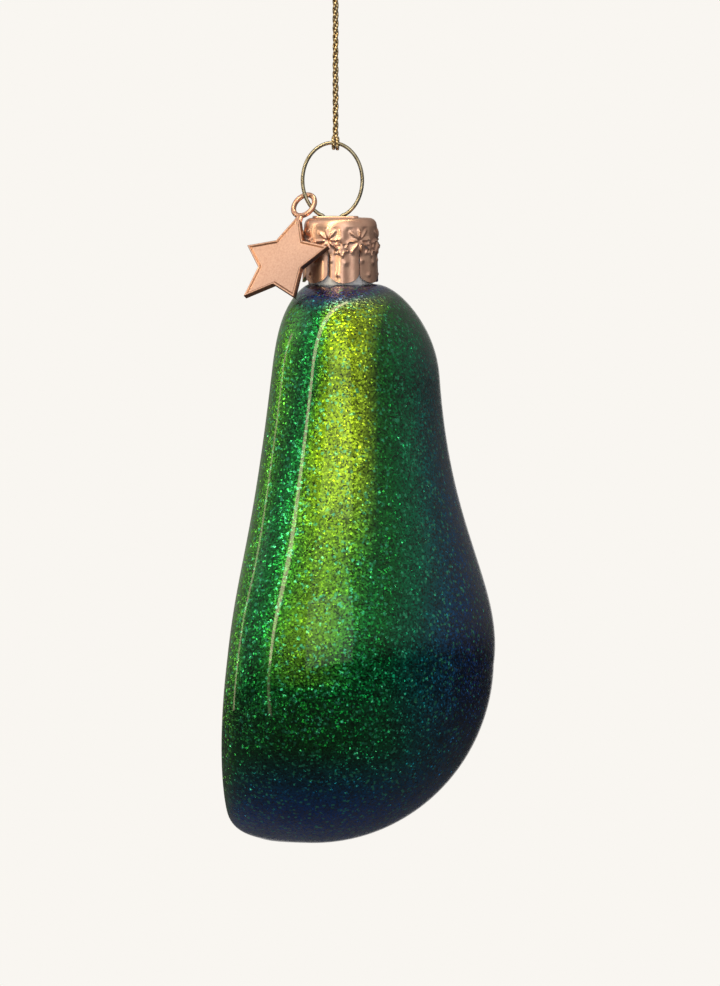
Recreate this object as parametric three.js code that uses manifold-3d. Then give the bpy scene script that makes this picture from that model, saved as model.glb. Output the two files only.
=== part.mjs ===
// A hanging half-avocado ornament of blown glass: its glass body, crown cap, wire hanger,
// star tag and hanging cord. Millimetres, +Z up. The origin is inside the top of the cord's loop,
// where a hook or twig carries it, and the cord hangs straight down the Z axis.
// The cut face of the fruit looks along -Y and its rounded back along +Y.

import * as THREE from 'three';
import { mergeGeometries, mergeVertices } from 'three/addons/utils/BufferGeometryUtils.js';
import Module from 'manifold-3d';

const wasm = await Module();
wasm.setup();

// Clearances
const seatGap = 0.3; // between pieces that rest on each other
const threadGap = 0.28; // between the hitch and the wire that turns in it

// Cord
const cordDiameter = 1.0;
const cordLength = 32; // from the hitch up to the knot
const cordLoopHeight = 11; // inside the loop, above the knot
const cordLoopSwing = 4.5; // how far the loop's sides swing out, before its round top takes some back
const cordLoopFeet = 1.24; // between the middles of its two ends
const knotDiameter = 2.6;
const knotHeight = 2.8;
const knotEndTurn = 72; // degrees round the knot's belly from its middle to its flat ends
const hitchStemLength = 0.64;
const hitchStemSunk = 0.2; // the stem runs this far into the turns
const hitchStrandDiameter = 0.6;
const hitchTurnSpacing = 0.62; // the two turns of the hitch lie side by side on the wire

// Wire hanger: an oval loop, with two spring legs inside the neck
const wireDiameter = 0.6;
const loopWidth = 9.56; // measured to the middle of the wire
const loopHeight = 12;
const loopTurn = 8.5; // degrees round the cap's axis, from the YZ plane
const hitchSlip = 0.49; // how far the hitch sits off the top of the loop, along the loop
const legSpacing = 3.0; // where the legs enter the cap
const legEntryRise = 0.28; // the oval ends this far above the cap's top, inside the slot
const legLength = 17; // below the cap's top

// Crown cap: thin stamped brass
const capHeight = 10.3;
const capTopRadius = 5.8;
const capRimRadius = 6.1;
const capShoulderRadius = 1.2;
const capWall = 0.35;
const petalCount = 7;
const petalDepth = 1.9; // from a petal's tip up to the notch beside it
const slitWidth = 0.32;
const slitLength = 4.2; // above the notch
const firstSlitAngle = -16; // degrees round Z from +X
const petalRoundness = 1.8; // 2 makes half an oval, and less makes a wider notch
const padHeight = 0.3; // the raised pad round the hanger's slot
const padBorder = 0.4;
const slotClearance = 0.3; // beside the wire
const slotReach = 1.3; // beyond each leg, where the wire leans out over the slot's end

// Glass body
const glassWall = 0.9;
const cutFaceWall = 1.7; // the blown glass is thicker over the flat face
const neckHeight = 9.9; // above the shoulder, inside the cap
const capAxisBehindCord = 0.8; // the neck's axis lies this far along +Y from the cord
const bodyHeight = 89.65; // from the bottom to the neck's root
const bellyHeight = 28.6; // level of the widest part
const bellyWidth = 57;
const backBellyHeight = 29.5; // the back is deepest a little higher up
const bellyBackDepth = 28.9; // from the mould seam to the back
const bellyFrontDepth = 9.2; // from the mould seam to the cut face
const bellySeamInFront = 4.4; // the seam lies this far along -Y from the neck's axis there
const seamLean = 0.1; // and above it comes back by this share, beside the leaning cut face
const napeWidth = 35; // the width and depth that the long tapers close towards
const napeBackDepth = 9.9;
const sideTaperRun = 22.4;
const backTaperRun = 29.3;
const sideDomeStart = 77; // the levels where the sides and the back start to close to the neck
const backDomeStart = 74.5;
const cutFaceLean = 6.3; // degrees; the foot of the cut face comes forward
const rimWidth = 6.5; // the cut face rounds off over this width, back to the mould seam
const cutFaceCrown = 0.5;
const pitRadius = 12.5; // the stone of the fruit stands out of the cut face
const pitRise = 3.4;
const footInset = 9.0; // how far the foot of the cut face curves back under the body
const footRise = 6.5;
const footRoundness = 2.8;

// Star tag: cast metal, with an eye on its top point
const starRadius = 8.45; // centre to a point
const starNotchRadius = 4.48; // centre to the corner between two points
const tagThickness = 0.9;
const starRimWidth = 0.5;
const starRecess = 0.22;
const eyeRadius = 1.95; // to the middle of its round band
const eyeBandDiameter = 0.84;
const eyeHeight = 10.4; // eye's middle above the star's middle
const eyeRootWidth = 1.3;
const eyeRootLength = 1.6;
const tagAzimuth = 65.7; // the way the tag faces, degrees from -Y towards +X
const tagLean = 32.5; // degrees the tag looks upward, its foot resting out on the cap
const tagRoll = 0.5; // degrees, counterclockwise as seen from its face
const eyeDrop = 9.96; // the eye's middle hangs this far below the hitch's wire
const eyeInFront = 5.01; // and this far along -Y from the cord
const eyeAside = 0.72; // and this far along +X

const degrees = Math.PI / 180;

// Levels on Z, from the loop down
const knotTop = -cordLoopHeight - cordDiameter / 2;
const knotBottom = knotTop - knotHeight;
const cordTop = knotBottom - seatGap;
const cordBottom = cordTop - cordLength;
const hitchTop = cordBottom - seatGap;
const hitchRadius = wireDiameter / 2 + threadGap + hitchStrandDiameter / 2;
const hitchCentre = hitchTop - hitchStemLength + hitchStemSunk - hitchRadius - hitchStrandDiameter / 2;
const hitchAngle = Math.asin(2 * hitchSlip / loopWidth); // round the oval from its top
const loopMiddle = hitchCentre - (loopHeight / 2) * Math.cos(hitchAngle);
const legEntry = loopMiddle - (loopHeight / 2) * Math.sqrt(1 - (legSpacing / loopWidth) ** 2);
const hitchTilt = Math.atan(Math.tan(hitchAngle) * loopHeight / loopWidth); // the wire's slope there
const capTop = legEntry - legEntryRise;
const capInsideTop = capTop - capWall;
const neckTop = capInsideTop - seatGap;
const neckRoot = neckTop - neckHeight;
const bodyBottom = neckRoot - bodyHeight;

// Shared places and radii
const neckRadius = capTopRadius - capWall - seatGap;
const boreRadius = neckRadius - glassWall;
const legReach = boreRadius - seatGap - wireDiameter / 2;

// Solids and geometry

function toSolid(geometry) {
  const bare = geometry.index ? geometry.toNonIndexed() : geometry.clone();
  bare.deleteAttribute('normal');
  bare.deleteAttribute('uv');
  const merged = mergeVertices(bare, 1e-4);
  return new wasm.Manifold(new wasm.Mesh({
    numProp: 3,
    vertProperties: new Float32Array(merged.attributes.position.array),
    triVerts: new Uint32Array(merged.index.array),
  }));
}

function toGeometry(solid) {
  const mesh = solid.getMesh();
  const geometry = new THREE.BufferGeometry();
  geometry.setAttribute('position', new THREE.BufferAttribute(new Float32Array(mesh.vertProperties), 3));
  geometry.setIndex(new THREE.BufferAttribute(new Uint32Array(mesh.triVerts), 1));
  geometry.computeVertexNormals();
  return geometry;
}

function tube(points, diameter, steps, sides) {
  const section = new THREE.Shape();
  section.absarc(0, 0, diameter / 2, 0, 2 * Math.PI);
  const path = new THREE.CatmullRomCurve3(points, false, 'centripetal');
  return new THREE.ExtrudeGeometry(section, { steps, extrudePath: path, curveSegments: sides / 2 });
}

// A closed skin over rings of points that all hold the same number, from the first ring to the
// last, with a fan to a single point at each end.
function skin(startPoint, rings, endPoint) {
  const points = [startPoint, ...rings.flat(), endPoint];
  const count = rings[0].length;
  const faces = [];
  for (let i = 0; i < count; i++) {
    const next = (i + 1) % count;
    faces.push(0, 1 + next, 1 + i);
    for (let r = 0; r < rings.length - 1; r++) {
      const low = 1 + r * count;
      const high = low + count;
      faces.push(low + i, low + next, high + i);
      faces.push(low + next, high + next, high + i);
    }
    const last = 1 + (rings.length - 1) * count;
    faces.push(points.length - 1, last + i, last + next);
  }
  const geometry = new THREE.BufferGeometry().setFromPoints(points);
  geometry.setIndex(faces);
  geometry.computeVertexNormals();
  return geometry;
}

function finish(color, roughness, metalness) {
  return new THREE.MeshStandardMaterial({ color, roughness, metalness });
}

function piece(name, geometry, material) {
  const mesh = new THREE.Mesh(geometry, material);
  mesh.name = name;
  return mesh;
}

const cordThread = finish(0xb08a52, 0.55, 0.4);
const roseGold = finish(0xcf9c80, 0.28, 1.0);
const antiqueGold = finish(0x8f7d58, 0.3, 1.0);
const glitterGlass = finish(0x14603a, 0.15, 0.3);

// Smooth step from 0 to 1, level at both ends
function ease(t) {
  const s = THREE.MathUtils.clamp(t, 0, 1);
  return s * s * (3 - 2 * s);
}

// Cord

// A teardrop from its right foot over the round top to its left foot
function buildCordLoop() {
  const foot = knotTop + seatGap;
  const top = cordDiameter / 2;
  const steps = 20;
  const points = [];
  for (let i = 0; i <= steps; i++) {
    const turn = 2 * Math.PI * i / steps;
    const swing = cordLoopSwing * Math.sin(turn) * Math.sin(turn / 2) ** 1.2;
    const x = (cordLoopFeet / 2) * Math.cos(turn / 2) + swing;
    const rise = (1 - Math.cos(turn)) / 2;
    points.push(new THREE.Vector3(x, 0, THREE.MathUtils.lerp(foot, top, rise)));
  }
  return tube(points, cordDiameter, 30, 8);
}

function buildCordKnot() {
  const half = knotHeight / 2;
  const steps = 8;
  const profile = [new THREE.Vector2(0, -half)];
  for (let i = 0; i <= steps; i++) {
    const turn = (2 * i / steps - 1) * knotEndTurn * degrees;
    const level = half * Math.sin(turn) / Math.sin(knotEndTurn * degrees);
    profile.push(new THREE.Vector2((knotDiameter / 2) * Math.cos(turn), level));
  }
  profile.push(new THREE.Vector2(0, half));
  const geometry = new THREE.LatheGeometry(profile, 16);
  geometry.rotateX(Math.PI / 2);
  geometry.translate(0, 0, knotTop - half);
  return geometry;
}

function buildHangingCord() {
  const points = [new THREE.Vector3(0, 0, cordBottom), new THREE.Vector3(0, 0, cordTop)];
  return tube(points, cordDiameter, 12, 8);
}

// Two turns of cord side by side round the wire, under a short stem
function buildCordHitch() {
  const stemFoot = hitchCentre + wireDiameter / 2 + threadGap;
  const stemLine = [new THREE.Vector3(0, 0, stemFoot + 0.1), new THREE.Vector3(0, 0, hitchTop)];
  const stem = tube(stemLine, cordDiameter, 2, 12);
  let hitch = toSolid(stem);
  for (const side of [-0.5, 0.5]) {
    const turn = new THREE.TorusGeometry(hitchRadius, hitchStrandDiameter / 2, 10, 24);
    turn.rotateX(Math.PI / 2 - hitchTilt);
    turn.translate(0, side * hitchTurnSpacing, hitchCentre - side * hitchTurnSpacing * Math.tan(hitchTilt));
    hitch = hitch.add(toSolid(onLoop(turn)));
  }
  return toGeometry(hitch);
}

// Wire hanger

// Turns what is made in the YZ plane about the cord round to the plane of the wire loop
function onLoop(geometry) {
  geometry.translate(0, -capAxisBehindCord, 0);
  geometry.rotateZ(loopTurn * degrees);
  geometry.translate(0, capAxisBehindCord, 0);
  return geometry;
}

// One spring leg, from its end inside the neck up to the cap's slot. It leans on the neck's wall
// at its end and bends in towards the slot over its upper half.
function legPoints(side) {
  const end = capAxisBehindCord + side * legReach;
  const entry = -hitchSlip + side * legSpacing / 2;
  const along = (share, rise) => {
    const y = THREE.MathUtils.lerp(entry, end, share);
    return new THREE.Vector3(0, y, capTop - legLength * (1 - rise));
  };
  return [along(1, 0), along(0.9, 0.3), along(0.45, 0.65), along(0, 0.97)];
}

function buildWireHanger() {
  const footTurn = Math.asin(legSpacing / loopWidth); // where the oval meets the legs
  const loopSteps = 28;
  const oval = [];
  for (let i = 0; i <= loopSteps; i++) {
    const turn = THREE.MathUtils.lerp(footTurn, 2 * Math.PI - footTurn, i / loopSteps);
    const y = -hitchSlip - (loopWidth / 2) * Math.sin(turn);
    oval.push(new THREE.Vector3(0, y, loopMiddle - (loopHeight / 2) * Math.cos(turn)));
  }
  const points = [...legPoints(-1), ...oval, ...legPoints(1).reverse()];
  return onLoop(tube(points, wireDiameter, 84, 8));
}

// Crown cap

// Height of the scalloped rim at an angle round the cap, measured up from the petals' tips
function petalEdge(angle) {
  const step = 2 * Math.PI / petalCount;
  const fromSlit = THREE.MathUtils.euclideanModulo(angle - firstSlitAngle * degrees, step) / step;
  const across = 2 * fromSlit - 1;
  return petalDepth * (1 - Math.sqrt(Math.max(0, 1 - Math.abs(across) ** petalRoundness)));
}

function buildCapShell() {
  const rim = capTop - capHeight;
  const sides = petalCount * 10;
  const ring = (radius, levelAt) => Array.from({ length: sides }, (_, i) => {
    const angle = firstSlitAngle * degrees + 2 * Math.PI * i / sides;
    return new THREE.Vector3(radius * Math.cos(angle), radius * Math.sin(angle), levelAt(angle));
  });
  const radiusAt = (share) => THREE.MathUtils.lerp(capRimRadius, capTopRadius, share);
  const wallShares = [0.28, 0.5, 0.86];
  const outside = [ring(capRimRadius, (angle) => rim + petalEdge(angle))];
  const inside = [ring(capRimRadius - capWall, (angle) => rim + petalEdge(angle))];
  for (const share of wallShares) {
    outside.push(ring(radiusAt(share), () => rim + share * capHeight));
    inside.push(ring(radiusAt(share) - capWall, () => rim + share * capHeight));
  }
  for (const turn of [30, 60, 90]) {
    const out = capShoulderRadius * (1 - Math.cos(turn * degrees));
    const down = capShoulderRadius * (1 - Math.sin(turn * degrees));
    outside.push(ring(capTopRadius - out, () => capTop - down));
  }
  inside.push(ring(radiusAt(0.95) - capWall, () => capInsideTop));
  const rings = [...inside.reverse(), ...outside];
  return skin(new THREE.Vector3(0, 0, capInsideTop), rings, new THREE.Vector3(0, 0, capTop));
}

function stadium(halfLength, halfWidth) {
  const shape = new THREE.Shape();
  const reach = halfLength - halfWidth;
  shape.absarc(0, reach, halfWidth, 0, Math.PI);
  shape.absarc(0, -reach, halfWidth, Math.PI, 2 * Math.PI);
  return shape;
}

// The shell with its pad and slot, which lie under the cord, and with slits between its petals
function buildMetalCap() {
  const slotHalfLength = hitchSlip + legSpacing / 2 + slotReach;
  const slotHalfWidth = wireDiameter / 2 + slotClearance;
  const pad = new THREE.ExtrudeGeometry(stadium(slotHalfLength + padBorder, slotHalfWidth + padBorder), {
    depth: padHeight + capWall / 2, bevelEnabled: false, curveSegments: 6,
  });
  pad.translate(0, -capAxisBehindCord, capTop - capWall / 2);
  const slot = new THREE.ExtrudeGeometry(stadium(slotHalfLength, slotHalfWidth), {
    depth: capWall + padHeight + 2, bevelEnabled: false, curveSegments: 6,
  });
  slot.translate(0, -capAxisBehindCord, capInsideTop - 1);
  const notchTop = capTop - capHeight + petalDepth;
  let cap = toSolid(buildCapShell()).add(toSolid(pad)).subtract(toSolid(slot));
  for (let i = 0; i < petalCount; i++) {
    const slit = new THREE.BoxGeometry(capRimRadius, slitWidth, slitLength + petalDepth);
    slit.translate(capRimRadius * 0.8, 0, notchTop + (slitLength - petalDepth) / 2);
    slit.rotateZ((firstSlitAngle + i * 360 / petalCount) * degrees);
    cap = cap.subtract(toSolid(slit));
  }
  const geometry = toGeometry(cap);
  geometry.rotateZ(loopTurn * degrees);
  geometry.translate(0, capAxisBehindCord, 0);
  return geometry;
}

// Glass body

// A taper from a wide level to a narrow one: level at its start, then closing over its run
function taper(height, start, wide, narrow, run, sharpness) {
  return narrow + (wide - narrow) / (1 + ((height - start) / run) ** sharpness);
}

// The share of its width left at a height in the dome that runs from its start in to the neck
function domeShare(height, start) {
  const rise = THREE.MathUtils.clamp((height - start) / (bodyHeight - start), 0, 1);
  return Math.sqrt(1 - rise ** 2);
}

// A quarter oval from nothing at the bottom to the full size at the belly
function bowl(height, belly, size) {
  return size * Math.sqrt(1 - ((belly - height) / belly) ** 2);
}

// Half the width of the body at a height above its bottom, seen from the front
function halfWidthAt(height) {
  if (height < bellyHeight) return bowl(height, bellyHeight, bellyWidth / 2);
  const side = taper(height, bellyHeight, bellyWidth / 2, napeWidth / 2, sideTaperRun, 3);
  return neckRadius + (side - neckRadius) * domeShare(height, sideDomeStart);
}

// Depth from the mould seam back to the outside
function backDepthAt(height) {
  if (height < backBellyHeight) return bowl(height, backBellyHeight, bellyBackDepth);
  const back = taper(height, backBellyHeight, bellyBackDepth, napeBackDepth, backTaperRun, 2);
  return neckRadius + (back - neckRadius) * domeShare(height, backDomeStart);
}

// Where the mould seam lies along Y
function seamAt(height) {
  const straight = -bellySeamInFront + seamLean * Math.max(0, height - bellyHeight);
  const rise = ease((height - backDomeStart) / (bodyHeight - backDomeStart));
  return capAxisBehindCord + THREE.MathUtils.lerp(straight, 0, rise);
}

// Where the cut face lies along Y: a leaning plane, rounded at its foot and run into the neck
function frontAt(height) {
  const lean = Math.tan(cutFaceLean * degrees);
  const plane = seamAt(bellyHeight) - bellyFrontDepth + lean * (height - bellyHeight);
  const low = Math.max(0, footRise - height) / footRise;
  const foot = footInset * (1 - (1 - low ** footRoundness) ** (1 / footRoundness));
  const rise = THREE.MathUtils.clamp((height - backDomeStart) / (bodyHeight - backDomeStart), 0, 1);
  const neckFront = capAxisBehindCord - neckRadius;
  return THREE.MathUtils.lerp(plane + foot, neckFront, rise ** 6);
}

function pitAt(x, height) {
  const away = Math.hypot(x, height - bellyHeight) / pitRadius;
  return away < 1 ? pitRise * (1 - away * away) : 0;
}

// Points spaced evenly along an open path
function spread(path, count) {
  const curve = new THREE.CurvePath();
  for (let i = 1; i < path.length; i++) {
    if (path[i].distanceTo(path[i - 1]) > 1e-6) curve.add(new THREE.LineCurve(path[i - 1], path[i]));
  }
  return Array.from({ length: count }, (_, i) => curve.getPointAt(i / count));
}

// One level ring of the outside: the back as half an oval, the front as a flat with round corners
function glassRing(height) {
  const backSteps = 20;
  const frontSteps = 28;
  const half = halfWidthAt(height);
  const seam = seamAt(height);
  const front = Math.min(frontAt(height), seam - 0.02);
  const back = backDepthAt(height);
  const cornerWidth = Math.min(rimWidth, half);
  const cornerDepth = seam - front;
  const ring = [];
  for (let i = 0; i < backSteps; i++) {
    const turn = Math.PI * i / backSteps;
    ring.push(new THREE.Vector2(half * Math.cos(turn), seam + back * Math.sin(turn)));
  }
  const path = [new THREE.Vector2(-half, seam)];
  for (let i = 0; i <= 12; i++) {
    const turn = (Math.PI / 2) * i / 12;
    const x = -half + cornerWidth * (1 - Math.cos(turn));
    path.push(new THREE.Vector2(x, front + cornerDepth * (1 - Math.sin(turn))));
  }
  for (const point of path.slice(1).reverse()) path.push(new THREE.Vector2(-point.x, point.y));
  path.push(new THREE.Vector2(half, seam));
  ring.push(...spread(path, frontSteps));
  const flat = Math.max(half - cornerWidth, 0.01);
  return ring.map((point) => {
    const onFace = point.y < front + 0.02 * cornerDepth && Math.abs(point.x) < flat;
    const crown = onFace ? cutFaceCrown * ease(flat / bellyFrontDepth) * (1 - (point.x / flat) ** 2) : 0;
    const pit = onFace ? pitAt(point.x, height) : 0;
    return new THREE.Vector3(point.x, point.y - Math.max(crown, pit), height);
  });
}

// Heights of the rings: close together at the bottom and at the top of the dome
function glassHeights() {
  const bowlSteps = 14;
  const sideSteps = 15;
  const domeSteps = 10;
  const heights = [];
  for (let i = 1; i <= bowlSteps; i++) {
    heights.push(bellyHeight * (1 - Math.cos((Math.PI / 2) * i / bowlSteps)));
  }
  for (let i = 1; i <= sideSteps; i++) {
    heights.push(THREE.MathUtils.lerp(bellyHeight, sideDomeStart, i / sideSteps));
  }
  for (let i = 1; i <= domeSteps; i++) {
    const share = Math.sin((Math.PI / 2) * i / domeSteps);
    heights.push(THREE.MathUtils.lerp(sideDomeStart, bodyHeight, share));
  }
  heights.push(bodyHeight + 0.5 * neckHeight, bodyHeight + neckHeight);
  return heights;
}

// Outward direction at each point of the rings, from the points round it
function outward(rings, r, i) {
  const count = rings[r].length;
  const round = rings[r][(i + 1) % count].clone().sub(rings[r][(i + count - 1) % count]);
  const up = rings[Math.min(r + 1, rings.length - 1)][i].clone().sub(rings[Math.max(r - 1, 0)][i]);
  if (r === rings.length - 1) up.set(0, 0, 1);
  return round.cross(up).normalize();
}

function buildGlassBody() {
  const outside = glassHeights().map((height) => glassRing(height));
  const inside = outside.map((ring, r) => ring.map((point, i) => {
    const normal = outward(outside, r, i);
    const belowDome = ease((bodyHeight - point.z) / (bodyHeight - backDomeStart));
    const overFace = Math.max(0, -normal.y) ** 3 * belowDome;
    const wall = THREE.MathUtils.lerp(glassWall, cutFaceWall, overFace);
    return point.clone().addScaledVector(normal, -wall);
  }));
  const foot = new THREE.Vector3(0, (outside[0][0].y + frontAt(0)) / 2, 0);
  const insideFoot = foot.clone().setZ(glassWall);
  // Half the rings are enough inside, except in the neck
  const innerRings = inside.filter((_, r) => r % 2 === 1 || r > inside.length - 11);
  const geometry = skin(foot, [...outside, ...innerRings.reverse()], insideFoot);
  geometry.translate(0, 0, bodyBottom);
  return geometry;
}

// Star tag

function starShape(share) {
  const shape = new THREE.Shape();
  for (let i = 0; i < 10; i++) {
    const radius = share * (i % 2 ? starNotchRadius : starRadius);
    const turn = (90 + 36 * i) * degrees;
    const point = new THREE.Vector2(radius * Math.cos(turn), radius * Math.sin(turn));
    if (i === 0) shape.moveTo(point.x, point.y);
    else shape.lineTo(point.x, point.y);
  }
  shape.closePath();
  return shape;
}

// Distance from the star's middle to the line of each of its edges
function starEdgeDistance() {
  const notch = 36 * degrees;
  const edge = Math.sqrt(
    starRadius ** 2 + starNotchRadius ** 2 - 2 * starRadius * starNotchRadius * Math.cos(notch),
  );
  return starRadius * starNotchRadius * Math.sin(notch) / edge;
}

function buildStarTag() {
  const star = new THREE.ExtrudeGeometry(starShape(1), { depth: tagThickness, bevelEnabled: false });
  star.translate(0, 0, -tagThickness / 2);
  const insideShare = 1 - starRimWidth / starEdgeDistance();
  const recess = new THREE.ExtrudeGeometry(starShape(insideShare), {
    depth: tagThickness, bevelEnabled: false,
  });
  recess.translate(0, 0, tagThickness / 2 - starRecess);
  const eye = new THREE.TorusGeometry(eyeRadius, eyeBandDiameter / 2, 10, 28);
  eye.translate(0, eyeHeight, 0);
  const root = new THREE.BoxGeometry(eyeRootWidth, eyeRootLength, eyeBandDiameter * 0.9);
  root.translate(0, eyeHeight - eyeRadius - eyeRootLength / 2, 0);
  const geometry = toGeometry(
    toSolid(star).subtract(toSolid(recess)).add(toSolid(root)).add(toSolid(eye)),
  );
  geometry.translate(0, -eyeHeight, 0); // the eye's middle is the tag's own origin
  return geometry;
}

// The tag hangs by its eye: rolled in its own plane, leaned back, then turned round Z
function placeStarTag(tag) {
  const hung = new THREE.Group();
  hung.rotation.set((90 - tagLean) * degrees, 0, tagAzimuth * degrees, 'ZXY');
  hung.position.set(eyeAside, -eyeInFront, hitchCentre - eyeDrop);
  tag.rotation.z = tagRoll * degrees;
  hung.add(tag);
  return hung;
}

const ornament = new THREE.Group();
ornament.add(
  piece('cord_loop', buildCordLoop(), cordThread),
  piece('cord_knot', buildCordKnot(), cordThread),
  piece('hanging_cord', buildHangingCord(), cordThread),
  piece('cord_hitch', buildCordHitch(), cordThread),
  piece('wire_hanger', buildWireHanger(), antiqueGold),
  piece('metal_cap', buildMetalCap(), roseGold),
  piece('glass_body', buildGlassBody(), glitterGlass),
  placeStarTag(piece('star_tag', buildStarTag(), roseGold)),
);

export default ornament;
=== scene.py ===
# %% [markdown]
# Half-avocado glass ornament.
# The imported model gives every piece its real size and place. This lesson dresses it: the mouth-blown
# glass with its glitter lacquer, the stamped crown cap, the wire hanger, the star tag and the twisted
# metallic cord. Everything is in metres, in the model's own frame: the origin is inside the top of the
# cord's loop, +Z is up, and the cut face of the fruit looks along -Y.

import math

import bpy
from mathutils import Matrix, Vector


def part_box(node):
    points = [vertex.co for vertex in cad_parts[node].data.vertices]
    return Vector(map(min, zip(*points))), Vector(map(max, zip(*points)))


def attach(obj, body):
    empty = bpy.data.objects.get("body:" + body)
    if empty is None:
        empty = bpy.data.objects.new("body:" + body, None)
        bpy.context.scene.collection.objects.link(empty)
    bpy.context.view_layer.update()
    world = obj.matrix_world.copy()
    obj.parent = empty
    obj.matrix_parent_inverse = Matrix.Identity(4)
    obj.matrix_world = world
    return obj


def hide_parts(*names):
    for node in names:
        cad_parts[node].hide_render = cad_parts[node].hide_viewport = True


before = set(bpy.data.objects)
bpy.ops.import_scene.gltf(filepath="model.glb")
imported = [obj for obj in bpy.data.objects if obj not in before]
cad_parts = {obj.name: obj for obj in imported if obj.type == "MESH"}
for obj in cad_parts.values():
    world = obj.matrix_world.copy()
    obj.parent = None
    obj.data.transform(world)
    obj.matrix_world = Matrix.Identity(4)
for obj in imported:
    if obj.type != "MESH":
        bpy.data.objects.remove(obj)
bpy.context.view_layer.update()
mm = 0.001

# %% [markdown]
# The camera comes first. The photograph looks at the fruit's flank, 12.5 degrees behind the plane of
# the cut and 3 degrees from above, with a long lens. One pixel is 0.16 mm, so the picture is 158 mm
# tall at the ornament. A long lens far away keeps both outlines as parallel as they are in the photo.

# %% Camera
view_azimuth = math.radians(102.5)
view_elevation = math.radians(3)
picture_height = 157.8 * mm
camera_distance = 1.5
sensor = 36
aim_aside = 3.9 * mm
aim_height = -104.5 * mm

screen_right = Vector((math.cos(view_azimuth), math.sin(view_azimuth), 0))
to_camera = Vector((
    math.sin(view_azimuth) * math.cos(view_elevation),
    -math.cos(view_azimuth) * math.cos(view_elevation),
    math.sin(view_elevation),
))
aim = screen_right * aim_aside + Vector((0, 0, aim_height))
camera_data = bpy.data.cameras.new("camera")
camera_data.sensor_width = sensor
camera_data.lens = sensor * camera_distance / picture_height
camera = bpy.data.objects.new("camera", camera_data)
camera.location = aim + to_camera * camera_distance
camera.rotation_euler = to_camera.to_track_quat("Z", "Y").to_euler()
bpy.context.collection.objects.link(camera)
bpy.context.scene.camera = camera
print("Lens:", round(camera_data.lens), "mm")

# %% [markdown]
# Helpers. Each one is small and is named for what a maker would say. The colours are written as the
# eye sees them on a screen, and one function turns them to the linear values that light needs.

# %% Helpers for colours and materials
def colour(code):
    """Linear red, green and blue, and full alpha, of a screen colour such as #F4F0EA."""
    parts = [int(code[i:i + 2], 16) / 255 for i in (1, 3, 5)]
    linear = [p / 12.92 if p <= 0.04045 else ((p + 0.055) / 1.055) ** 2.4 for p in parts]
    return (*linear, 1)


def feed(tree, node, inputs):
    """Gives each input a value, or a link from a socket, or a link from a node's first output."""
    for key, value in inputs.items():
        if isinstance(value, bpy.types.Node):
            value = value.outputs[0]
        if isinstance(value, bpy.types.NodeSocket):
            tree.links.new(value, node.inputs[key])
        else:
            node.inputs[key].default_value = value


def set_stops(colour_ramp, stops):
    """Each stop is a place from 0 to 1 and a colour, or a grey level."""
    while len(colour_ramp.elements) < len(stops):
        colour_ramp.elements.new(1)
    for element, (place, value) in zip(colour_ramp.elements, stops):
        element.position = place
        if isinstance(value, str):
            value = colour(value)
        elif isinstance(value, float):
            value = (value, value, value, 1)
        element.color = value


def add_node(tree, kind, inputs=None, stops=None, **settings):
    """Adds a node with its settings and its inputs, and a colour ramp with its stops too."""
    node = tree.nodes.new(kind)
    for key, value in settings.items():
        setattr(node, key, value)
    feed(tree, node, inputs or {})
    if stops:
        set_stops(node.color_ramp, stops)
    return node


def new_material(name, **sockets):
    """A material, its tree and its shader, with constant values on the shader's own sockets."""
    material = bpy.data.materials.new(name)
    material.use_nodes = True
    shader = material.node_tree.nodes["Principled BSDF"]
    for key, value in sockets.items():
        shader.inputs[key.replace("_", " ")].default_value = value
    return material, material.node_tree, shader


print("Pale paper is", [round(part, 3) for part in colour("#F4F0EA")], "in linear light")

# %% Helpers for making pieces
def ease(t):
    """Smooth step from 0 to 1, level at both ends."""
    s = min(1, max(0, t))
    return s * s * (3 - 2 * s)


def deselect():
    """Leaves edit mode and clears the selection, so that nothing old is changed by the next step."""
    if bpy.context.object and bpy.context.object.mode != "OBJECT":
        bpy.ops.object.mode_set(mode="OBJECT")
    bpy.ops.object.select_all(action="DESELECT")


def pick(piece):
    """Selects one piece alone and makes it the active one."""
    deselect()
    piece.select_set(True)
    bpy.context.view_layer.objects.active = piece


def settle(piece, name):
    """Puts the object's place into its mesh, so that it sits at the origin, and names it."""
    pick(piece)
    bpy.ops.object.transform_apply(location=True, rotation=True, scale=True)
    piece.name = name
    piece.data.name = name
    return piece


def modify(piece, kind, **settings):
    """Adds a modifier and applies it at once."""
    pick(piece)
    modifier = piece.modifiers.new(kind.title(), kind)
    for key, value in settings.items():
        setattr(modifier, key, value)
    bpy.ops.object.modifier_apply(modifier=modifier.name)


def merge_doubles(piece, distance=0.001 * mm):
    """Sews points together that lie in one place, and turns the faces outward."""
    pick(piece)
    bpy.ops.object.mode_set(mode="EDIT")
    bpy.ops.mesh.select_all(action="SELECT")
    bpy.ops.mesh.remove_doubles(threshold=distance)
    bpy.ops.mesh.normals_make_consistent(inside=False)
    bpy.ops.object.mode_set(mode="OBJECT")


def remove_faces(piece, unwanted):
    """Deletes the faces for which unwanted(face) is true."""
    pick(piece)
    bpy.ops.object.mode_set(mode="EDIT")
    bpy.ops.mesh.select_mode(type="FACE")
    bpy.ops.mesh.select_all(action="DESELECT")
    bpy.ops.object.mode_set(mode="OBJECT")
    for face in piece.data.polygons:
        face.select = unwanted(face)
    bpy.ops.object.mode_set(mode="EDIT")
    bpy.ops.mesh.delete(type="FACE")
    bpy.ops.mesh.select_mode(type="VERT")
    bpy.ops.object.mode_set(mode="OBJECT")


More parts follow.
